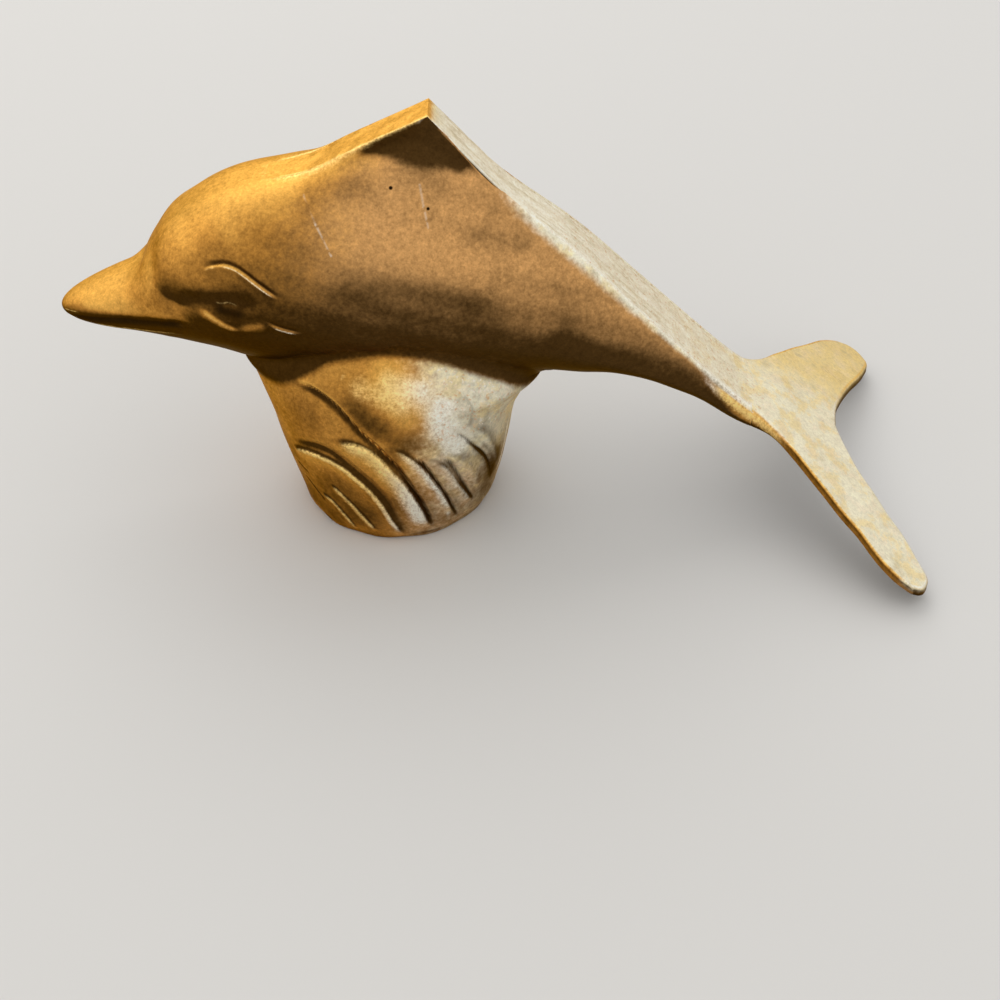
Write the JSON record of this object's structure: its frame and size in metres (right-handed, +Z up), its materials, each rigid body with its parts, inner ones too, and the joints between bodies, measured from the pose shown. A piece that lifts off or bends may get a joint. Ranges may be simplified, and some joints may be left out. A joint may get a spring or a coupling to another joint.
{
  "type": "brass dolphin figurine",
  "caption": "Leaping dolphin ornament of hollow cast brass on a carved wave foot, made to stand on a shelf or desk",
  "frame": {"origin": "centre of the flat foot of the wave base, on the surface that the figurine stands on", "axes": "+Z up, -X towards the beak and +X towards the tail, +Y to the dolphin's right"},
  "size_m": [0.1271, 0.0594, 0.0652],
  "materials": {
    "cast_brass": "cast, rubbed smooth and darkened by brown patina",
    "worn_brass": "ground flat, worn pale and satin",
    "brazing_metal": "brazed and filed, slightly pitted"
  },
  "bodies": {
    "root": {"body_left_shell": "cast_brass", "body_right_shell": "cast_brass", "wave_base": "cast_brass", "back_strip": "worn_brass", "tail_flukes": "worn_brass", "chin_seam_bead": "brazing_metal", "keel_seam_bead": "brazing_metal", "tail_braze_ring": "brazing_metal", "base_braze_collar": "brazing_metal"}
  },
  "joints": []
}
